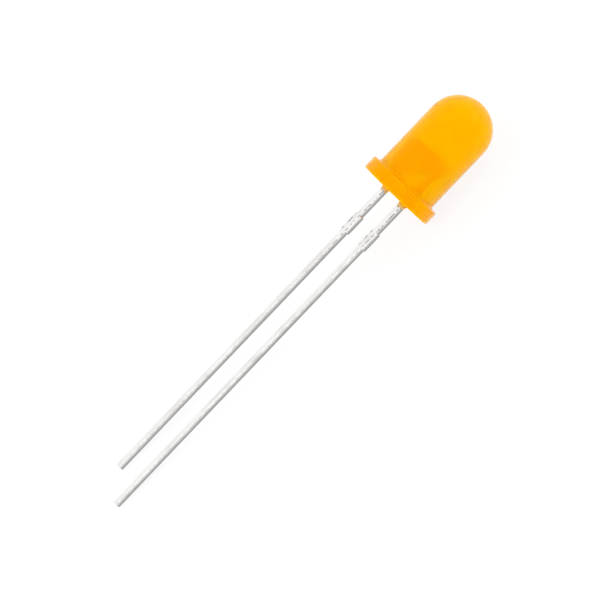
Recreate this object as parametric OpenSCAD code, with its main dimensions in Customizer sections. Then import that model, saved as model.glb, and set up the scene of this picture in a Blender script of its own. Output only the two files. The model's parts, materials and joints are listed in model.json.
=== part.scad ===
// Through hole LED with a round diffused lens, in millimetres.
// Each piece is drawn in the LED's own frame: Z is the lens axis towards the dome, z = 0 is the underside
// of the flange, and X runs from the cathode (minus) to the anode (plus) in the plane of the leads.
// at_rest() then lays the LED down as it comes to lie, on the flange's rim and the tips of both leads.

/* [Epoxy case] */
// Diameter of the barrel
barrel_d = 4.9; // [4.4:0.05:5.2]
// Height from the underside of the flange to the tip of the dome
case_h = 8.8; // [7.8:0.1:10]
// Height of the flange
flange_t = 1.05; // [0.9:0.05:1.5]
// How far the flange stands out from the barrel
flange_lip = 0.5; // [0.4:0.025:0.7]
// How far the flat on the cathode side stands out from the barrel
flat_step = 0.075; // [0.025:0.025:0.2]
// Radius of the fillet between the flange and the barrel
root_r = 0.18; // [0.1:0.02:0.24]
// Radius of the flange's upper edge
rim_r = 0.14; // [0.06:0.02:0.16]
// How far the epoxy creeps down each lead
skirt_h = 0.45; // [0.2:0.05:0.7]
// How far a skirt stands out from the lead's corners where it starts
skirt_w = 0.12; // [0.05:0.01:0.3]
// Thickness of a skirt's lower edge over the lead's corners
skirt_edge = 0.02; // [0.01:0.005:0.04]

/* [Leads] */
// Distance between the two leads' centres
pitch = 2.54; // [2.3:0.02:2.7]
// Width of a lead in the plane of the leads
lead_w = 0.45; // [0.4:0.01:0.56]
// Thickness of the sheet that both leads are stamped from
sheet_t = 0.4; // [0.36:0.01:0.56]
// Length of the cathode lead below the flange
cathode_l = 27.2; // [20:0.1:32]
// How much longer the anode lead is
anode_extra = 1.9; // [0.5:0.1:4]
// Distance from the flange down to the cut tie bar
bar_drop = 2.75; // [1.5:0.05:5]
// Length of a tie bar stub along the lead
bar_l = 1.55; // [0.8:0.05:2]
// How far a tie bar stub stands out from the lead
bar_stub = 0.14; // [0.06:0.02:0.3]
// Height of the anchors above the underside of the flange
anchor_z = 0.3; // [0.2:0.02:0.4]
// Height of an anchor
anchor_h = 0.6; // [0.4:0.05:0.7]
// How far an anchor stands out from the lead on each side
anchor_w = 0.16; // [0.08:0.02:0.24]
// Length of an anchor's slanted shoulders
anchor_slope = 0.12; // [0.04:0.02:0.18]

/* [Cathode anvil] */
// Height of the anvil's top
anvil_z = 4.05; // [3.6:0.05:4.6]
// Height at which the lead starts to widen into the anvil
neck_z = 1.2; // [1.1:0.05:1.4]
// How far the anvil stands out past the lead's outer side
anvil_flare = 0.24; // [0.1:0.02:0.34]
// Height over which the outer side flares
flare_h = 0.6; // [0.3:0.05:0.9]
// Length of the cut corner at the anvil's top
anvil_corner = 0.3; // [0.1:0.05:0.4]
// Diameter of the round pillar that holds the cup
pillar_d = 1.15; // [1.05:0.05:1.25]
// Height of the pillar's straight side
pillar_h = 1.4; // [1:0.05:1.5]
// Height of the taper under the pillar
taper_h = 0.35; // [0.2:0.05:0.4]
// Thickness of the cup's rim
cup_rim = 0.12; // [0.06:0.01:0.14]
// Diameter of the cup's floor
cup_floor_d = 0.52; // [0.5:0.01:0.6]
// Depth of the cup
cup_depth = 0.36; // [0.3:0.02:0.5]

/* [Anode post] */
// Width of the post
post_w = 0.42; // [0.32:0.02:0.5]
// Height at which the post starts to lean outwards
post_bend_z = 2.5; // [2:0.05:2.8]
// How far the post's top stands outside the lead's centre
post_lean = 0.3; // [0:0.05:0.35]
// Height of the post's top
post_z = 3.95; // [3.7:0.05:4.2]
// Width of the pad on the post's top
pad_w = 0.5; // [0.44:0.02:0.56]
// Height of the pad
pad_t = 0.3; // [0.2:0.05:0.5]

/* [Chip and bond] */
// Side of the square chip
chip_w = 0.3; // [0.22:0.01:0.33]
// Thickness of the chip
chip_t = 0.2; // [0.12:0.01:0.22]
// Diameter of the adhesive film under the chip
film_d = 0.48; // [0.47:0.01:0.49]
// Thickness of the adhesive film
film_t = 0.025; // [0.015:0.005:0.04]
// Diameter of the bond wire
wire_d = 0.03; // [0.025:0.005:0.04]
// Diameter of the ball that joins the wire to the chip
ball_d = 0.09; // [0.07:0.01:0.11]
// Height of the flattened ball
ball_t = 0.03; // [0.02:0.005:0.04]
// Straight rise of the wire above the ball
wire_rise = 0.16; // [0.1:0.02:0.3]
// Radius of the wire's bend
wire_bend = 0.12; // [0.08:0.01:0.2]

/* [Hidden] */
$fn = 96;
EPOXY = "darkorange";
TIN = "silver";
CRYSTAL = "dimgray";
SILVER_PASTE = "lightgray";
GOLD = "gold";

// The case, worked out from its driving sizes
barrel_r = barrel_d / 2;
flange_r = barrel_r + flange_lip;
flat_x = barrel_r + flat_step;
dome_z = case_h - barrel_r;

// The leads and what stands on them
lead_x = pitch / 2;
anode_l = cathode_l + anode_extra;
corner_r = norm([lead_w, sheet_t]) / 2;
pillar_z = anvil_z - pillar_h;
taper_z = pillar_z - taper_h;
cup_floor_z = anvil_z - cup_depth;
cup_mouth_d = pillar_d - 2 * cup_rim;
post_x = lead_x + post_lean;
chip_z = cup_floor_z + film_t;
chip_top = chip_z + chip_t;

// The wire's route in the plane of the leads: up from the ball, round one bend, then straight to the pad
bend_z = chip_top + ball_t + wire_rise;
land = [post_x - wire_bend, post_z - bend_z];
run_l = sqrt(pow(norm(land), 2) - pow(wire_bend, 2));
run_slope = atan2(land[1], land[0]) + acos(wire_bend / norm(land));

// The way it lies: turned about its axis until both lead tips reach the ground, and tipped dome up
tip_ratio = anode_extra / (lead_x * (cathode_l + anode_l));
roll_arm = [1 + tip_ratio * lead_w / 2, tip_ratio * sheet_t / 2];
rest_roll = asin(tip_ratio * flange_r / norm(roll_arm)) - atan2(roll_arm[1], roll_arm[0]);
lead_drop = (lead_w * sin(rest_roll) + sheet_t * cos(rest_roll)) / 2;
rest_pitch = atan((flange_r - lead_drop - lead_x * sin(rest_roll)) / cathode_l);
rest_z = flange_r * cos(rest_pitch);

// The middle of the ground that it covers
far_x = dome_z * cos(rest_pitch) + barrel_r;
near_x = -anode_l * cos(rest_pitch) - (lead_x * sin(rest_roll) + lead_drop) * sin(rest_pitch);
flat_y = flange_r * cos(max(0, acos(flat_x / flange_r) - rest_roll));
middle = [(far_x + near_x) / 2, (flat_y - flange_r) / 2];

module at_rest() {
    translate([-middle[0], -middle[1], rest_z])
        rotate([0, -rest_pitch, 0])
            rotate([-90 - rest_roll, 0, 0])
                rotate([0, 90, 0])
                    children();
}

// A flat outline in the plane of the leads, as thick as the sheet
module stamped() {
    translate([0, sheet_t / 2, 0])
        rotate([90, 0, 0])
            linear_extrude(height = sheet_t)
                children();
}

// What both leads' outlines share: the straight lead, the tie bar's stubs and the anchor
module lead_outline(x, below, top) {
    translate([x - lead_w / 2, -below])
        square([lead_w, below + top]);
    translate([x - lead_w / 2 - bar_stub, -bar_drop - bar_l])
        square([lead_w + 2 * bar_stub, bar_l]);
    translate([x, anchor_z])
        anchor_outline();
}

module anchor_outline() {
    inner = lead_w / 2;
    outer = inner + anchor_w;
    polygon([
        [-inner, 0], [inner, 0], [outer, anchor_slope], [outer, anchor_h - anchor_slope],
        [inner, anchor_h], [-inner, anchor_h], [-outer, anchor_h - anchor_slope], [-outer, anchor_slope]
    ]);
}

// The anvil widens from the lead to both sides and reaches the axis under the pillar
module anvil_outline() {
    left = -lead_x - lead_w / 2;
    far_left = left - anvil_flare;
    right = sheet_t / 2;
    polygon([
        [left, neck_z], [far_left, neck_z + flare_h], [far_left, anvil_z - anvil_corner],
        [far_left + anvil_corner, anvil_z], [right, anvil_z], [right, taper_z], [left + lead_w, neck_z]
    ]);
}

// The dish that the chip sits in
module cup_dish() {
    translate([0, 0, cup_floor_z])
        cylinder(h = cup_depth, d1 = cup_floor_d, d2 = cup_mouth_d);
}

module cathode_form() {
    difference() {
        union() {
            stamped() {
                lead_outline(-lead_x, cathode_l, neck_z);
                anvil_outline();
            }
            translate([0, 0, pillar_z])
                cylinder(h = pillar_h, d = pillar_d);
            translate([0, 0, taper_z])
                cylinder(h = taper_h, d1 = sheet_t, d2 = pillar_d);
        }
        cup_dish();
    }
}

module post_outline() {
    half = post_w / 2;
    pad = pad_w / 2;
    polygon([
        [lead_x - half, anchor_z], [lead_x + half, anchor_z], [lead_x + half, post_bend_z],
        [post_x + pad, post_z - pad_t], [post_x + pad, post_z], [post_x - pad, post_z],
        [post_x - pad, post_z - pad_t], [lead_x - half, post_bend_z]
    ]);
}

module anode_form() {
    stamped() {
        lead_outline(lead_x, anode_l, anchor_z + anchor_h);
        post_outline();
    }
}

module film_form() {
    translate([0, 0, cup_floor_z])
        cylinder(h = film_t, d = film_d);
}

module chip_form() {
    translate([-chip_w / 2, -chip_w / 2, chip_z])
        cube([chip_w, chip_w, chip_t]);
}

module ball_form() {
    translate([0, 0, chip_top])
        cylinder(h = ball_t, d = ball_d);
}

// The straight run leaves the bend at run_slope and ends inside the pad, which trims it
module wire_form() {
    $fn = 24;
    translate([0, 0, chip_top])
        cylinder(h = bend_z - chip_top, d = wire_d);
    translate([wire_bend, 0, bend_z])
        rotate([90, 0, 0])
            rotate([0, 0, run_slope])
                rotate_extrude(angle = 180 - run_slope)
                    translate([wire_bend, 0])
                        circle(d = wire_d);
    translate([wire_bend, 0, bend_z])
        rotate([0, -run_slope, 0])
            translate([wire_bend, 0, -run_l])
                cylinder(h = run_l, d = wire_d);
}

// A skirt of epoxy round one lead, under the flange
module skirt(x) {
    translate([x, 0, -skirt_h])
        cylinder(h = skirt_h, r1 = corner_r + skirt_edge, r2 = corner_r + skirt_w);
}

// Half of the case's section, turned about the axis
module case_profile() {
    square([flange_r, flange_t - rim_r]);
    square([flange_r - rim_r, flange_t]);
    translate([flange_r - rim_r, flange_t - rim_r])
        circle(r = rim_r);
    square([barrel_r, dome_z]);
    difference() {
        translate([0, flange_t])
            square([barrel_r + root_r, root_r]);
        translate([barrel_r + root_r, flange_t + root_r])
            circle(r = root_r);
    }
    intersection() {
        translate([0, dome_z])
            square([barrel_r, barrel_r]);
        translate([0, dome_z])
            circle(r = barrel_r);
    }
}

module case_form() {
    difference() {
        rotate_extrude()
            case_profile();
        translate([-2 * flange_r, -flange_r, 0])
            cube([2 * flange_r - flat_x, 2 * flange_r, flange_t + root_r]);
    }
    for (side = [-1, 1])
        skirt(side * lead_x);
}

module epoxy_case() {
    color(EPOXY)
        at_rest()
            difference() {
                case_form();
                cathode_form();
                anode_form();
                film_form();
                chip_form();
                ball_form();
                wire_form();
            }
}

module cathode_lead() {
    color(TIN)
        at_rest()
            cathode_form();
}

module anode_lead() {
    color(TIN)
        at_rest()
            anode_form();
}

module led_chip() {
    color(CRYSTAL)
        at_rest()
            chip_form();
}

module die_attach() {
    color(SILVER_PASTE)
        at_rest()
            film_form();
}

module bond_wire() {
    color(GOLD)
        at_rest()
            difference() {
                union() {
                    ball_form();
                    wire_form();
                }
                anode_form();
            }
}

epoxy_case();
cathode_lead();
anode_lead();
led_chip();
die_attach();
bond_wire();
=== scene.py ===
# %% [markdown]
# # A through hole LED at rest
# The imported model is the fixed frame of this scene. It says where each piece lies, in metres, and the scene gives
# the pieces their final shapes and finishes. The box round the solids is kept, so that the dressed model can be
# held against it at the end.

# %% Load the frame
import json
from math import atan2, cos, degrees, pi, radians, sin

import bmesh
import bpy
from mathutils import Matrix, Vector


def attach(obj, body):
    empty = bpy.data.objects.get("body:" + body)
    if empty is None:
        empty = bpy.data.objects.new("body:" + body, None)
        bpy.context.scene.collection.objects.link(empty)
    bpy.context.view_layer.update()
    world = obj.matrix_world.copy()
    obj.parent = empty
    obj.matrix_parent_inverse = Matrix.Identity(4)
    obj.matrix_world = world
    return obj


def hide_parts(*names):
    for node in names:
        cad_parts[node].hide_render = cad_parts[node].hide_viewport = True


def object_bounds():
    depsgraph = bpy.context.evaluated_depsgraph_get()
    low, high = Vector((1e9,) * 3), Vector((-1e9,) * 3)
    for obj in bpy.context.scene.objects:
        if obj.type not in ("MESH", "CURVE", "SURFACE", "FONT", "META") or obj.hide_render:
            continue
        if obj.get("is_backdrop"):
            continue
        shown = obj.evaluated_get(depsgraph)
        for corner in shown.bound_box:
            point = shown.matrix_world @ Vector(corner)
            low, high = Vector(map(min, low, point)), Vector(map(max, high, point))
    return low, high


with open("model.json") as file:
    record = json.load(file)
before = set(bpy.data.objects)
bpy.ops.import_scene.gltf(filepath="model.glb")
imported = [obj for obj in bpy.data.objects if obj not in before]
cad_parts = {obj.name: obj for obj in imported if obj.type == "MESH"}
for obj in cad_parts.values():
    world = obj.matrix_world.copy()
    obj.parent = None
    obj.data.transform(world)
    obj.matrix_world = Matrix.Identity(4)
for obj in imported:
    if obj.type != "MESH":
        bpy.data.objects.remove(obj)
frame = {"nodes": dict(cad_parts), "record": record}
solids_low, solids_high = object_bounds()
print("the LED's box, mm:", [round(1000 * c, 3) for c in (*solids_low, *solids_high)])

# %% [markdown]
# ## The LED's own directions
# An LED is drawn standing up: its axis runs from the seating face to the dome, and its two leads stand side by side.
# On the ground it lies tipped and turned, so every piece here is made standing up, in millimetres, and then laid
# down by one matrix. The record's interfaces give that matrix: the seating face holds the origin and the axis, and
# the flange's flat points away from the anode.

# %% The matrix that lays a piece down
MM = 0.001
interface = {m["name"]: m for m in frame["record"]["mounts"]}
seat = Vector(interface["seating_face"]["pos_m"])
to_dome = -Vector(interface["seating_face"]["axis"]).normalized()
to_anode = -Vector(interface["flange_flat"]["axis"]).normalized()
to_back = to_dome.cross(to_anode)
turned = Matrix((to_anode, to_back, to_dome)).transposed()
lay_down = Matrix.Translation(seat) @ turned.to_4x4() @ Matrix.Scale(MM, 4)
print("the axis rises", round(degrees(atan2(to_dome.z, to_dome.x)), 2), "degrees towards the dome")

# %% [markdown]
# ## The camera
# The photograph looks down on the LED from beside its anode, a little from the dome's side, through a long lens.
# A long lens far away keeps both leads parallel, and the picture's roll sets the LED on its diagonal. The view
# direction is built from the LED's own directions, so it stays true however the LED comes to lie.

# %% Aim the camera
PIXELS_PER_MM = 14.31
PICTURE = 600
ORIGIN_PIXEL = (395.28, 195.43)
CAMERA_AWAY = 0.5
SENSOR = 36.0
round_the_axis = radians(49.6)
towards_dome = radians(2.76)
picture_roll = radians(46.32)

to_camera = -cos(round_the_axis) * to_back + sin(round_the_axis) * to_anode
to_camera = cos(towards_dome) * to_camera + sin(towards_dome) * to_dome
across = to_dome.cross(to_camera).normalized()
along = to_camera.cross(across).normalized()
right = cos(picture_roll) * along + sin(picture_roll) * across
up = sin(picture_roll) * along - cos(picture_roll) * across
mm_right = (PICTURE / 2 - ORIGIN_PIXEL[0]) / PIXELS_PER_MM
mm_up = (ORIGIN_PIXEL[1] - PICTURE / 2) / PIXELS_PER_MM
aim = seat + MM * (mm_right * right + mm_up * up)

camera = bpy.data.objects.new("camera", bpy.data.cameras.new("camera"))
bpy.context.scene.collection.objects.link(camera)
facing = Matrix((right, up, to_camera)).transposed().to_4x4()
camera.matrix_world = Matrix.Translation(aim + CAMERA_AWAY * to_camera) @ facing
camera.data.sensor_width = SENSOR
camera.data.lens = SENSOR * CAMERA_AWAY / (MM * PICTURE / PIXELS_PER_MM)
camera.data.clip_start, camera.data.clip_end = 0.05, 20
bpy.context.scene.camera = camera
looks_down = degrees(atan2(to_camera.z, to_camera.xy.length))
print("lens", round(camera.data.lens, 1), "mm; the camera looks down by", round(looks_down, 1), "degrees")

# %% [markdown]
# ## Helpers for the pieces
# Each piece ends the same way: seams and poles are merged, the faces are turned outwards, edges sharper than a given
# angle stay sharp in the shading, and the mesh is laid down into the frame.

# %% Finish a mesh and make its object
def tidy(bm, merge=1e-5):
    bmesh.ops.remove_doubles(bm, verts=bm.verts[:], dist=merge)
    bmesh.ops.recalc_face_normals(bm, faces=bm.faces[:])


def make_piece(name, bm, finish, crease=50):
    bmesh.ops.transform(bm, matrix=lay_down, verts=bm.verts[:])
    for face in bm.faces:
        face.smooth = True
    for edge in bm.edges:
        edge.smooth = not (edge.is_manifold and edge.calc_face_angle(0) > radians(crease))
    mesh = bpy.data.meshes.new(name)
    bm.to_mesh(mesh)
    bm.free()
    mesh.materials.append(finish)
    piece = bpy.data.objects.new(name, mesh)
    bpy.context.scene.collection.objects.link(piece)
    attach(piece, "root")
    print(name, "has", len(mesh.polygons), "faces")
    return piece


# %% [markdown]
# ## Node helpers
# A finish is a Principled shader with a few texture nodes in front of it. Patterns read the piece's Object
# coordinates through a Mapping node that turns them back to the LED standing up, in millimetres, so that a line along
# a lead is a line along Z whatever way the LED lies.

# %% Start a finish
stand_up = lay_down.inverted()


def new_finish(name, **inputs):
    finish = bpy.data.materials.new(name)
    finish.use_nodes = True
    nodes = finish.node_tree.nodes
    shader = nodes["Principled BSDF"]
    for label, value in inputs.items():
        shader.inputs[label.replace("_", " ")].default_value = value
    return finish, nodes, finish.node_tree.links, shader


def upright_coordinates(nodes, links):
    coordinate = nodes.new("ShaderNodeTexCoord")
    mapping = nodes.new("ShaderNodeMapping")
    mapping.inputs["Scale"].default_value = (1 / MM,) * 3
    mapping.inputs["Rotation"].default_value = stand_up.to_euler()
    mapping.inputs["Location"].default_value = stand_up.translation
    links.new(coordinate.outputs["Object"], mapping.inputs["Vector"])
    return mapping.outputs["Vector"]


def stretched(nodes, links, vector, scale):
    mapping = nodes.new("ShaderNodeMapping")
    mapping.inputs["Scale"].default_value = scale
    links.new(vector, mapping.inputs["Vector"])
    return mapping.outputs["Vector"]


def noise(nodes, links, vector, scale, detail=3.0, roughness=0.5):
    texture = nodes.new("ShaderNodeTexNoise")
    texture.inputs["Scale"].default_value = scale
    texture.inputs["Detail"].default_value = detail
    texture.inputs["Roughness"].default_value = roughness
    links.new(vector, texture.inputs["Vector"])
    return texture.outputs["Fac"]


def worked_out(nodes, links, operation, first, second=0.0):
    node = nodes.new("ShaderNodeMath")
    node.operation = operation
    for socket, value in zip(node.inputs, (first, second)):
        if isinstance(value, float):
            socket.default_value = value
        else:
            links.new(value, socket)
    return node.outputs["Value"]


def ramp(nodes, links, value, low, high, start, end):
    node = nodes.new("ShaderNodeMapRange")
    node.interpolation_type = "SMOOTHSTEP"
    for label, number in (("From Min", low), ("From Max", high), ("To Min", start), ("To Max", end)):
        node.inputs[label].default_value = number
    links.new(value, node.inputs["Value"])
    return node.outputs["Result"]


def blend(nodes, links, amount, first, second):
    node = nodes.new("ShaderNodeMix")
    node.data_type = "RGBA"
    sockets = [s for s in node.inputs if s.type == "RGBA"]
    for socket, colour in zip(sockets, (first, second)):
        if isinstance(colour, tuple):
            socket.default_value = (*colour, 1)
        else:
            links.new(colour, socket)
    links.new(amount, node.inputs["Factor"])
    return next(s for s in node.outputs if s.type == "RGBA")


def bump(nodes, links, height, distance, strength=1.0, normal=None):
    node = nodes.new("ShaderNodeBump")
    node.inputs["Distance"].default_value = distance
    node.inputs["Strength"].default_value = strength
    links.new(height, node.inputs["Height"])
    if normal:
        links.new(normal, node.inputs["Normal"])
    return node.outputs["Normal"]


# %% [markdown]
# ## Orange epoxy
# The case is cast in epoxy with an orange dye and a fine white powder that spreads the light. It glows evenly, and
# the frame inside shows as a faint, crisp shadow. Three things give that look together: subsurface scattering for
# the glow, a share of transmission for the shadow of the frame, and an orange tint on the straight-on reflection,
# because the dye's glow drowns it there while the grazing rim stays pale. The index of refraction is set below that
# of clear epoxy, which keeps the body's colour even from every side.
#
# Height along the LED splits the finish into zones. In the barrel the frame shows. The flange is thicker and spreads
# the view more, so its share of transmission is smaller, and its colour is painted a deeper orange as painted shade,
# which makes up for the light that this adds. Its rounded upper rim catches the light from the dome's side, so the
# painted shade is deepest there. The fillet above it is shaded by the flange and the barrel, so its colour is painted
# paler as painted light. Under the flange the epoxy thins out to a pale, milky film on the leads.

# %% The epoxy's finish
epoxy, nodes, links, shader = new_finish(
    "diffused_epoxy",
    Roughness=0.08, IOR=1.3, Specular_IOR_Level=0.3, Specular_Tint=(1.0, 0.45, 0.03, 1),
    Subsurface_Weight=1.0, Subsurface_Radius=(1.0, 0.35, 0.1), Subsurface_Scale=0.002,
)
upright = upright_coordinates(nodes, links)
height = nodes.new("ShaderNodeSeparateXYZ")
links.new(upright, height.inputs["Vector"])
clouds = noise(nodes, links, upright, 0.45, 2)
cloudy = ramp(nodes, links, clouds, 0.3, 0.7, 0, 1)
in_barrel = blend(nodes, links, cloudy, (1.0, 0.49, 0.0), (1.0, 0.51, 0.0))
# Painted light: the fillet above the flange is coloured paler than the barrel, against its shade.
fillet_painted_light_mask = ramp(nodes, links, height.outputs["Z"], 1.04, 1.18, 0, 1)
# Painted shade: the flange is coloured a deeper orange than the barrel, deepest at its upper rim, against the light
# it catches.
rim_painted_shade_mask = ramp(nodes, links, height.outputs["Z"], 0.75, 0.92, 0, 1)
flange_painted_shade = blend(nodes, links, rim_painted_shade_mask, (1.0, 0.415, 0.0), (1.0, 0.385, 0.0))
flange_fillet_painted_light = blend(nodes, links, fillet_painted_light_mask, flange_painted_shade, (1.0, 0.54, 0.0))
FILLET_LOW, FILLET_HIGH = 1.1, 1.35
past_fillet = ramp(nodes, links, height.outputs["Z"], FILLET_LOW, FILLET_HIGH, 0, 1)
dye_and_painted_light = blend(nodes, links, past_fillet, flange_fillet_painted_light, in_barrel)
above_film = ramp(nodes, links, height.outputs["Z"], -0.5, -0.05, 0, 1)
links.new(blend(nodes, links, above_film, (0.96, 0.7, 0.51), dye_and_painted_light), shader.inputs["Base Color"])
CLEAR_FILM, CLEAR_FLANGE, CLEAR_BARREL = 0.1, 0.25, 0.4
clear_low = ramp(nodes, links, height.outputs["Z"], -0.3, -0.02, CLEAR_FILM, CLEAR_FLANGE)
clear_more = ramp(
    nodes, links, height.outputs["Z"], FILLET_LOW, FILLET_HIGH, 0, CLEAR_BARREL - CLEAR_FLANGE,
)
links.new(worked_out(nodes, links, "ADD", clear_low, clear_more), shader.inputs["Transmission Weight"])
handling = noise(nodes, links, upright, 3.0, 4)
links.new(ramp(nodes, links, handling, 0.35, 0.75, 0.05, 0.13), shader.inputs["Roughness"])
mould = noise(nodes, links, upright, 1.6, 2)
links.new(bump(nodes, links, mould, 0.004 * MM, 0.5), shader.inputs["Normal"])
print("epoxy finish has", len(nodes), "nodes")

# %% [markdown]
# ## Tinned steel
# The leads are punched from steel sheet and plated with tin. The rolled faces are bright with faint lines along the
# lead and soft cloudy patches. On the punched sides the punch burnishes the first part of the cut and the rest tears
# off, so they turn from bright to grey across the thickness, which is the LED's Y direction; that grey is also
# painted shade, on those sides and on the back face. The corners carry a row of small dark nicks, most of them
# between the case and the stubs, where the tie bar was held and cut. Metal inside the casting is seen by orange
# light, so above the seating face its colour is painted a deep orange: painted light and shade of the epoxy's glow.

# %% The tin's finish
LEAD_X, LEAD_W, SHEET_T = 1.27, 0.45, 0.4
tin, nodes, links, shader = new_finish("bright_tin", Metallic=1.0)
upright = upright_coordinates(nodes, links)
place = nodes.new("ShaderNodeSeparateXYZ")
links.new(upright, place.inputs["Vector"])
lines = noise(nodes, links, stretched(nodes, links, upright, (22, 22, 0.5)), 1.0, 4, 0.6)
patches = noise(nodes, links, stretched(nodes, links, upright, (1.2, 1.2, 0.5)), 1.0, 3)
bright = blend(nodes, links, ramp(nodes, links, patches, 0.4, 0.7, 0, 1), (0.93, 0.925, 0.91), (0.82, 0.81, 0.79))
lined = blend(nodes, links, ramp(nodes, links, lines, 0.52, 0.72, 0, 0.5), bright, (0.6, 0.59, 0.58))
TORN_SHADE_FROM, TORN_SHADE_TO, WAVE = -0.17, 0.16, 0.12
uneven = noise(nodes, links, stretched(nodes, links, upright, (1, 1, 2.5)), 1.0, 3)
wave = worked_out(nodes, links, "MULTIPLY", uneven, WAVE)
cut_depth = worked_out(nodes, links, "ADD", place.outputs["Y"], wave)
# The grey across the thickness is the torn zone and also painted shade on the punched sides and the back face.
torn_and_painted_shade = ramp(nodes, links, cut_depth, TORN_SHADE_FROM, TORN_SHADE_TO, 0, 1)
plated_and_painted_shade = blend(nodes, links, torn_and_painted_shade, lined, (0.36, 0.355, 0.35))
print("the torn band starts", round(TORN_SHADE_FROM - WAVE / 2, 2), "mm from the middle of the sheet")

# %% Nicks along the corners of the leads
from_axis = worked_out(nodes, links, "ABSOLUTE", place.outputs["X"])
off_centre = worked_out(nodes, links, "ABSOLUTE", worked_out(nodes, links, "SUBTRACT", from_axis, LEAD_X))
from_side = worked_out(nodes, links, "ABSOLUTE", worked_out(nodes, links, "SUBTRACT", off_centre, LEAD_W / 2))
from_middle = worked_out(nodes, links, "ABSOLUTE", place.outputs["Y"])
on_corner = worked_out(
    nodes, links, "MULTIPLY",
    ramp(nodes, links, from_side, 0.01, 0.06, 1, 0), ramp(nodes, links, from_middle, 0.12, 0.18, 0, 1),
)
speckles = noise(nodes, links, stretched(nodes, links, upright, (5, 5, 4)), 1.0, 2)
dots = ramp(nodes, links, speckles, 0.46, 0.56, 0, 1)
near_case = ramp(nodes, links, place.outputs["Z"], -6.5, -4.0, 0.3, 1)
nicked = worked_out(nodes, links, "MULTIPLY", worked_out(nodes, links, "MULTIPLY", on_corner, dots), near_case)
marked_and_painted_shade = blend(nodes, links, nicked, plated_and_painted_shade, (0.14, 0.135, 0.13))
# Painted light and shade: metal above the seating face is coloured deep orange for the epoxy's glow round it.
cast_in_painted_light = ramp(nodes, links, place.outputs["Z"], 0.0, 0.1, 0, 1)
links.new(blend(nodes, links, cast_in_painted_light, marked_and_painted_shade, (1.0, 0.04, 0.0)), shader.inputs["Base Color"])
links.new(ramp(nodes, links, lines, 0.3, 0.7, 0.16, 0.32), shader.inputs["Roughness"])
links.new(bump(nodes, links, lines, 0.006 * MM, 0.5), shader.inputs["Normal"])
print("tin finish has", len(nodes), "nodes")

# %% [markdown]
# ## The small pieces' finishes
# The chip, its adhesive and the gold wire are sealed in the epoxy and hardly show, but each is its own material. A
# sawn crystal has steps from the saw, the adhesive is grey paste full of silver flakes, and drawn gold wire is warm
# and smooth.

# %% Crystal, adhesive and gold
crystal, nodes, links, shader = new_finish("sawn_crystal", Roughness=0.3, IOR=3.0)
upright = upright_coordinates(nodes, links)
saw = noise(nodes, links, stretched(nodes, links, upright, (2, 2, 30)), 1.0, 2)
sawn = ramp(nodes, links, saw, 0.4, 0.6, 0, 1)
links.new(blend(nodes, links, sawn, (0.10, 0.10, 0.11), (0.20, 0.19, 0.19)), shader.inputs["Base Color"])
links.new(bump(nodes, links, saw, 0.004 * MM, 0.6), shader.inputs["Normal"])

adhesive, nodes, links, shader = new_finish("silver_paste", Metallic=0.6, Roughness=0.5)
flakes = nodes.new("ShaderNodeTexVoronoi")
flakes.inputs["Scale"].default_value = 40
links.new(upright_coordinates(nodes, links), flakes.inputs["Vector"])
flake = flakes.outputs["Distance"]
links.new(blend(nodes, links, flake, (0.72, 0.71, 0.69), (0.5, 0.49, 0.48)), shader.inputs["Base Color"])
links.new(bump(nodes, links, flake, 0.003 * MM, 0.6), shader.inputs["Normal"])

gold, nodes, links, shader = new_finish("drawn_gold", Metallic=1.0, Roughness=0.2)
drawn = noise(nodes, links, upright_coordinates(nodes, links), 25.0, 2)
links.new(blend(nodes, links, drawn, (0.95, 0.68, 0.27), (0.88, 0.60, 0.22)), shader.inputs["Base Color"])
links.new(ramp(nodes, links, drawn, 0.3, 0.7, 0.15, 0.28), shader.inputs["Roughness"])
for node, finish in (("led_chip", crystal), ("die_attach", adhesive), ("bond_wire", gold)):
    frame["nodes"][node].data.materials.clear()
    frame["nodes"][node].data.materials.append(finish)
    print(node, "is finished in", finish.name)

# %% [markdown]
# ## The case
# The mould is round, so the case is a lathe shape. The section starts as one row of edges from the middle of the
# underside round the flange and up the barrel to the foot of the dome. Its corners are rounded by a bevel on the
# vertices, the dome is a vertex spun through a quarter turn, and the whole section is spun once round the axis.

# %% Draw the section
BARREL_R = 2.45
CASE_H = 8.8
FLANGE_T = 1.05
FLANGE_LIP, FLAT_LIP = 0.5, 0.075
FLANGE_R = BARREL_R + FLANGE_LIP
FLAT_X = BARREL_R + FLAT_LIP
DOME_Z = CASE_H - BARREL_R
ROOT_R, RIM_R, FOOT_R = 0.18, 0.14, 0.06
UNDERSIDE_RING, BARREL_RING = 2, 3
AXIS = (0, 0, 1)


def draw_row(bm, points):
    corners = [bm.verts.new(point) for point in points]
    for first, second in zip(corners, corners[1:]):
        bm.edges.new((first, second))
    return corners


def round_corner(bm, corner, radius, segments):
    bmesh.ops.bevel(
        bm, geom=[corner], offset=radius, offset_type="OFFSET", affect="VERTICES",
        segments=segments, profile=0.5, material=-1,
    )


section = bmesh.new()
row = draw_row(section, [
    (0, 0, 0), (UNDERSIDE_RING, 0, 0), (FLANGE_R, 0, 0), (FLANGE_R, 0, FLANGE_T),
    (BARREL_R, 0, FLANGE_T), (BARREL_R, 0, BARREL_RING), (BARREL_R, 0, DOME_Z),
])
round_corner(section, row[4], ROOT_R, 8)
round_corner(section, row[3], RIM_R, 6)
round_corner(section, row[2], FOOT_R, 4)
bmesh.ops.spin(
    section, geom=[row[-1]], cent=(0, 0, DOME_Z), axis=(0, -1, 0), angle=pi / 2, steps=32, use_duplicate=False,
)
print("the section has", len(section.verts), "points; highest", round(max(v.co.z for v in section.verts), 3))

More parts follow.
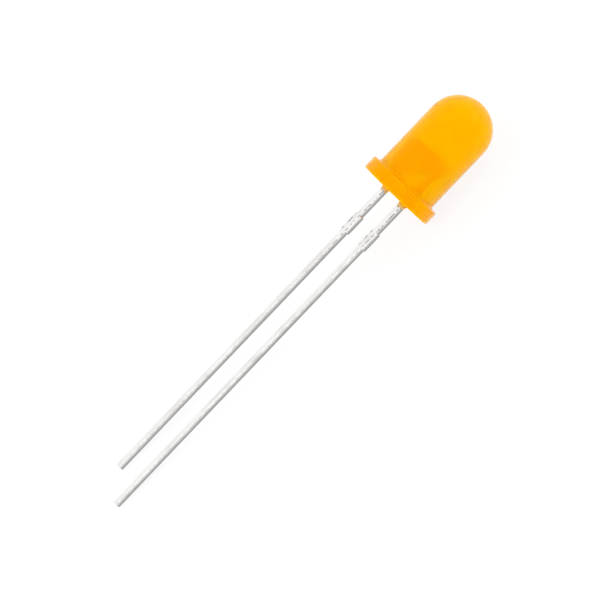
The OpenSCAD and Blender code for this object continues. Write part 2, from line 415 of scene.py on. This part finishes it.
# %% [markdown]
# ## Spin, cut the flat and add the skirts
# The flange has a flat that marks the cathode. It is one cut with a plane, whose hole is closed again. Under the
# flange the epoxy creeps down each lead in a small skirt with hollow sides, which reaches furthest down the middle
# of each face and draws back at the sharp corners. A skirt starts as its lower edge, a square with round corners,
# which is extruded and widened in steps. It is joined to the case by a union, so that the casting is one closed
# skin without walls inside.

# %% Spin the section into the case
bmesh.ops.spin(
    section, geom=section.verts[:] + section.edges[:], cent=(0, 0, 0), axis=AXIS, angle=2 * pi, steps=192,
    use_merge=True, use_duplicate=False,
)
tidy(section)
cut = bmesh.ops.bisect_plane(
    section, geom=section.verts[:] + section.edges[:] + section.faces[:], plane_co=(-FLAT_X, 0, 0),
    plane_no=(-1, 0, 0), clear_outer=True,
)
rim = [e for e in cut["geom_cut"] if isinstance(e, bmesh.types.BMEdge)]
bmesh.ops.contextual_create(section, geom=rim)
bmesh.ops.recalc_face_normals(section, faces=section.faces[:])
print("the case has", len(section.faces), "faces, open edges:", sum(not e.is_manifold for e in section.edges))

# %% Pull one skirt
SKIRT_H, SKIRT_TOP, SKIRT_LOW, CORNER_LIFT = 0.45, 0.12, 0.01, 0.16
HOLLOWNESS, SINK, STEPS = 5, 0.1, 12


def skirt_size(climb):
    """Width and thickness of the skirt's ring when it has climbed from 0, its lower edge, to 1, the flange."""
    out = SKIRT_LOW + (SKIRT_TOP - SKIRT_LOW) * climb ** HOLLOWNESS
    return Vector((LEAD_W + 2 * out, SHEET_T + 2 * out, 1))


def pull_skirt(x):
    """A ring of epoxy round a lead, pulled up from its thin lower edge and widened step by step."""
    bm = bmesh.new()
    bmesh.ops.create_grid(bm, x_segments=1, y_segments=1, size=0.5)
    bmesh.ops.bevel(
        bm, geom=bm.verts[:], offset=0.1, offset_type="OFFSET", affect="VERTICES", segments=4, profile=0.5,
        material=-1,
    )
    long_edges = [e for e in bm.edges if e.calc_length() > 0.5]
    bmesh.ops.subdivide_edges(bm, edges=long_edges, cuts=5)
    bmesh.ops.scale(bm, vec=skirt_size(0), verts=bm.verts[:])
    bmesh.ops.translate(bm, vec=(0, 0, -SKIRT_H), verts=bm.verts[:])
    top, climb = bm.faces[:], 0
    rise = (SKIRT_H + SINK) / STEPS
    for i in range(1, STEPS + 1):
        made = bmesh.ops.extrude_face_region(bm, geom=top)["geom"]
        if i > 1:
            bmesh.ops.delete(bm, geom=top, context="FACES_ONLY")
        top = [f for f in made if isinstance(f, bmesh.types.BMFace)]
        corners = [v for v in made if isinstance(v, bmesh.types.BMVert)]
        before, climb = skirt_size(climb), min(1, i * rise / SKIRT_H)
        after = skirt_size(climb)
        bmesh.ops.scale(bm, vec=(after.x / before.x, after.y / before.y, 1), verts=corners)
        bmesh.ops.translate(bm, vec=(0, 0, rise), verts=corners)
    for vert in bm.verts:
        climb = min(1, 1 + vert.co.z / SKIRT_H)
        size = skirt_size(climb)
        at_corner = 2 * min(abs(vert.co.x) / size.x, abs(vert.co.y) / size.y)
        vert.co.z += CORNER_LIFT * at_corner ** 2 * (1 - climb) ** 2
    bmesh.ops.triangulate(bm, faces=[f for f in bm.faces if len(f.verts) > 4])
    bmesh.ops.translate(bm, vec=(x, 0, 0), verts=bm.verts[:])
    tidy(bm)
    print("skirt has", len(bm.faces), "faces, open edges:", sum(not e.is_manifold for e in bm.edges))
    return bm


# %% Join the skirts to the case
def loose_object(name, bm):
    mesh = bpy.data.meshes.new(name)
    bm.to_mesh(mesh)
    bm.free()
    made = bpy.data.objects.new(name, mesh)
    bpy.context.scene.collection.objects.link(made)
    return made


def join(base, tools):
    for tool in tools:
        union = base.modifiers.new("union", "BOOLEAN")
        union.operation, union.solver, union.object = "UNION", "EXACT", tool
    joined = bmesh.new()
    joined.from_object(base, bpy.context.evaluated_depsgraph_get())
    for used in (base, *tools):
        bpy.data.meshes.remove(used.data)
    return joined


case = join(loose_object("casting", section), [loose_object("skirt", pull_skirt(x)) for x in (-LEAD_X, LEAD_X)])
tidy(case)
print("joined, open edges:", sum(not e.is_manifold for e in case.edges))
body = make_piece("epoxy_body", case, epoxy, crease=35)
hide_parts("epoxy_case")

# %% [markdown]
# ## The leads
# Both leads come out of one sheet, so each starts as a square bar that is cut into rings where its outline changes.
# The side faces between two rings are then pulled out: a little for the tie bar's stubs and the anchors, and far for
# the anvil that reaches the cup. Rounding every hard edge at the end gives the roll-over that punching leaves.

# %% Tools for shaping a bar
EDGE_R = 0.05
A_HAIR = 1e-6


def start_bar(x, low, high, rings):
    bm = bmesh.new()
    shape = Matrix.Translation((x, 0, (low + high) / 2)) @ Matrix.Diagonal((LEAD_W, SHEET_T, high - low, 1))
    bmesh.ops.create_cube(bm, size=1, matrix=shape)
    for height in rings:
        bmesh.ops.bisect_plane(
            bm, geom=bm.verts[:] + bm.edges[:] + bm.faces[:], plane_co=(0, 0, height), plane_no=AXIS,
        )
    return bm


def pull_side(bm, side, low, high, out, low_end=None, high_end=None):
    """Pulls the faces on one side (-1 or 1) between two heights outwards, and may move the pulled face's ends."""
    bm.normal_update()
    picked = [
        f for f in bm.faces
        if f.normal.x * side > 0.9 and low < f.calc_center_median().z < high
    ]
    pulled = bmesh.ops.extrude_face_region(bm, geom=picked)["geom"]
    bmesh.ops.delete(bm, geom=picked, context="FACES_ONLY")
    corners = [v for v in pulled if isinstance(v, bmesh.types.BMVert)]
    for corner in corners:
        if low_end is not None and abs(corner.co.z - low) < A_HAIR:
            corner.co.z = low_end
        elif high_end is not None and abs(corner.co.z - high) < A_HAIR:
            corner.co.z = high_end
        corner.co.x += side * out


def round_edges(bm, radius, segments=3, sharper=30):
    bmesh.ops.dissolve_limit(bm, angle_limit=radians(0.5), verts=bm.verts[:], edges=bm.edges[:])
    hard = [e for e in bm.edges if e.is_manifold and e.calc_face_angle(0) > radians(sharper)]
    bmesh.ops.bevel(
        bm, geom=hard, offset=radius, offset_type="OFFSET", affect="EDGES", segments=segments,
        profile=0.5, clamp_overlap=True, material=-1,
    )


# %% The features that both leads share
BAR_DROP, BAR_L, BAR_STUB = 2.75, 1.55, 0.14
ANCHOR_Z, ANCHOR_H, ANCHOR_W, ANCHOR_SLOPE = 0.3, 0.6, 0.16, 0.12
STUB_RINGS = (-BAR_DROP - BAR_L, -BAR_DROP)
ANCHOR_RINGS = (ANCHOR_Z, ANCHOR_Z + ANCHOR_H)


def add_stubs_and_anchor(bm):
    for side in (-1, 1):
        pull_side(bm, side, *STUB_RINGS, BAR_STUB)
        pull_side(
            bm, side, *ANCHOR_RINGS, ANCHOR_W,
            low_end=ANCHOR_Z + ANCHOR_SLOPE, high_end=ANCHOR_Z + ANCHOR_H - ANCHOR_SLOPE,
        )


# %% [markdown]
# ## The cathode lead
# The short lead widens into the anvil, whose inner side reaches the axis and carries a round pillar. A punch coins
# the cup into the pillar's top, and the cup's slanted wall throws the chip's side light forward. The bar ends just
# under the pillar's top, so that the union of the two never meets two faces in one plane.

# %% Shape the cathode
CATHODE_L, ANODE_L = 27.2, 29.1
NECK_Z, ANVIL_Z, ANVIL_FLARE, FLARE_H, ANVIL_CORNER = 1.2, 4.05, 0.24, 0.6, 0.3
PILLAR_R, PILLAR_H, TAPER_H = 0.575, 1.4, 0.35
CUP_RIM, CUP_FLOOR_R, CUP_DEPTH, CUP_EDGE_R = 0.12, 0.26, 0.36, 0.04
BAR_TOP = ANVIL_Z - 0.02
PILLAR_FOOT_R = SHEET_T / 2 - 0.02

bar = start_bar(-LEAD_X, -CATHODE_L, BAR_TOP, (*STUB_RINGS, *ANCHOR_RINGS, NECK_Z))
add_stubs_and_anchor(bar)
pull_side(
    bar, -1, NECK_Z, BAR_TOP, ANVIL_FLARE, low_end=NECK_Z + FLARE_H, high_end=ANVIL_Z - ANVIL_CORNER,
)
pull_side(bar, 1, NECK_Z, BAR_TOP, LEAD_X, low_end=ANVIL_Z - PILLAR_H - TAPER_H)
tidy(bar)
round_edges(bar, EDGE_R)

# %% Turn the pillar and its cup
pillar = bmesh.new()
draw_row(pillar, [
    (0, 0, ANVIL_Z - PILLAR_H - TAPER_H), (PILLAR_FOOT_R, 0, ANVIL_Z - PILLAR_H - TAPER_H),
    (PILLAR_R, 0, ANVIL_Z - PILLAR_H), (PILLAR_R, 0, ANVIL_Z), (PILLAR_R - CUP_RIM, 0, ANVIL_Z),
    (CUP_FLOOR_R, 0, ANVIL_Z - CUP_DEPTH), (0, 0, ANVIL_Z - CUP_DEPTH),
])
pillar.verts.ensure_lookup_table()
for index in (4, 3, 2):
    round_corner(pillar, pillar.verts[index], CUP_EDGE_R, 4)
    pillar.verts.ensure_lookup_table()
bmesh.ops.spin(
    pillar, geom=pillar.verts[:] + pillar.edges[:], cent=(0, 0, 0), axis=AXIS, angle=2 * pi, steps=64,
    use_merge=True, use_duplicate=False,
)
tidy(pillar)
cathode = join(loose_object("bar", bar), [loose_object("pillar", pillar)])
tidy(cathode)
print("cathode joined, open edges:", sum(not e.is_manifold for e in cathode.edges))
cathode = make_piece("cathode_frame", cathode, tin)
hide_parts("cathode_lead")

# %% [markdown]
# ## The anode lead
# The long lead ends in a slim post that leans outwards, away from the cup, with a pad on top where the gold wire is
# bonded. It starts as the same bar, and its upper rings are slid sideways and narrowed.

# %% Shape the anode
POST_W, POST_BEND_Z, POST_LEAN, POST_Z, PAD_W, PAD_T = 0.42, 2.5, 0.3, 3.95, 0.5, 0.3
POST_START = ANCHOR_Z + ANCHOR_H + 0.15
PAD_Z = POST_Z - PAD_T
bar = start_bar(LEAD_X, -ANODE_L, POST_Z, (*STUB_RINGS, *ANCHOR_RINGS, POST_START, POST_BEND_Z, PAD_Z))
add_stubs_and_anchor(bar)
for vert in bar.verts:
    height, half = vert.co.z, vert.co.x - LEAD_X
    if height > POST_START - A_HAIR:
        lean = POST_LEAN * min(1, max(0, (height - POST_BEND_Z) / (PAD_Z - POST_BEND_Z)))
        width = PAD_W if height > PAD_Z - A_HAIR else POST_W
        vert.co.x = LEAD_X + lean + half * width / LEAD_W
tidy(bar)
round_edges(bar, EDGE_R, sharper=12)
anode = make_piece("anode_frame", bar, tin)
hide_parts("anode_lead")

# %% Even out the shading of the flat metal faces
for piece in (cathode, anode):
    even = piece.modifiers.new("even faces", "WEIGHTED_NORMAL")
    even.keep_sharp = True

# %% [markdown]
# ## Floor, lamps and world
# The LED lies on a plain white floor in soft light from all round, as in a light tent. The floor and the world are
# plain white to the camera and in reflections, and the floor keeps part of the LED's shadow. A large lamp overhead
# and a smaller one off the dome's end are at a plain level, so that the epoxy and the tin render about as their
# colours are written.

# %% Lay the floor
def seen_directly(nodes, links):
    """1 for rays that look at the surroundings, also by way of metal or glass, and 0 for the light they give."""
    path = nodes.new("ShaderNodeLightPath")
    total = path.outputs["Is Camera Ray"]
    for label in ("Is Glossy Ray", "Is Transmission Ray"):
        larger = nodes.new("ShaderNodeMath")
        larger.operation = "MAXIMUM"
        links.new(total, larger.inputs[0])
        links.new(path.outputs[label], larger.inputs[1])
        total = larger.outputs["Value"]
    return total


PLAIN_WHITE = 0.85
floor_paper = bpy.data.materials.new("floor_paper")
floor_paper.use_nodes = True
nodes, links = floor_paper.node_tree.nodes, floor_paper.node_tree.links
nodes.clear()
diffuse, glow, mix, out = (
    nodes.new(kind) for kind in
    ("ShaderNodeBsdfDiffuse", "ShaderNodeEmission", "ShaderNodeMixShader", "ShaderNodeOutputMaterial")
)
diffuse.inputs["Color"].default_value = (0.9, 0.9, 0.9, 1)
glow.inputs["Strength"].default_value = 1.0
weaker = nodes.new("ShaderNodeMath")
weaker.operation = "MULTIPLY"
weaker.inputs[1].default_value = PLAIN_WHITE
links.new(seen_directly(nodes, links), weaker.inputs[0])
links.new(weaker.outputs["Value"], mix.inputs["Fac"])
links.new(diffuse.outputs["BSDF"], mix.inputs[1])
links.new(glow.outputs["Emission"], mix.inputs[2])
links.new(mix.outputs["Shader"], out.inputs["Surface"])

floor_bm = bmesh.new()
bmesh.ops.create_grid(floor_bm, x_segments=1, y_segments=1, size=3)
floor = loose_object("floor", floor_bm)
floor.data.materials.append(floor_paper)
floor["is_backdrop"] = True

# %% Fill the world with soft light
LIGHT_GIVEN, LIGHT_SEEN = 1.22, 1.0
world = bpy.data.worlds.new("tent")
bpy.context.scene.world = world
world.use_nodes = True
nodes, links = world.node_tree.nodes, world.node_tree.links
strength = nodes.new("ShaderNodeMapRange")
strength.inputs["To Min"].default_value = LIGHT_GIVEN
strength.inputs["To Max"].default_value = LIGHT_SEEN
links.new(seen_directly(nodes, links), strength.inputs["Value"])
links.new(strength.outputs["Result"], nodes["Background"].inputs["Strength"])
nodes["Background"].inputs["Color"].default_value = (1, 1, 1, 1)


# %% Hang the lamps
def hang_lamp(name, place, size, watts):
    lamp = bpy.data.lights.new(name, "AREA")
    lamp.size = size
    lamp.energy = watts
    made = bpy.data.objects.new(name, lamp)
    bpy.context.scene.collection.objects.link(made)
    made.location = place
    made.rotation_mode = "QUATERNION"
    made.rotation_quaternion = Vector(place).to_track_quat("Z", "Y")
    made.visible_camera = False


hang_lamp("key", (-0.5, -0.3, 1.5), 1.2, 3.0)
hang_lamp("dome_light", (1.0, -0.5, 0.25), 0.4, 1.6)

# %% [markdown]
# The Standard view transform shows colours as they are written. The last lines print how far each face of the
# dressed model's box lies from the solids' box.

# %% Finish
bpy.context.scene.view_settings.view_transform = "Standard"
dressed_low, dressed_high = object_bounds()
moved = [b - a for a, b in zip((*solids_low, *solids_high), (*dressed_low, *dressed_high))]
print("the box's faces moved by, mm:", [round(1000 * m, 4) for m in moved])
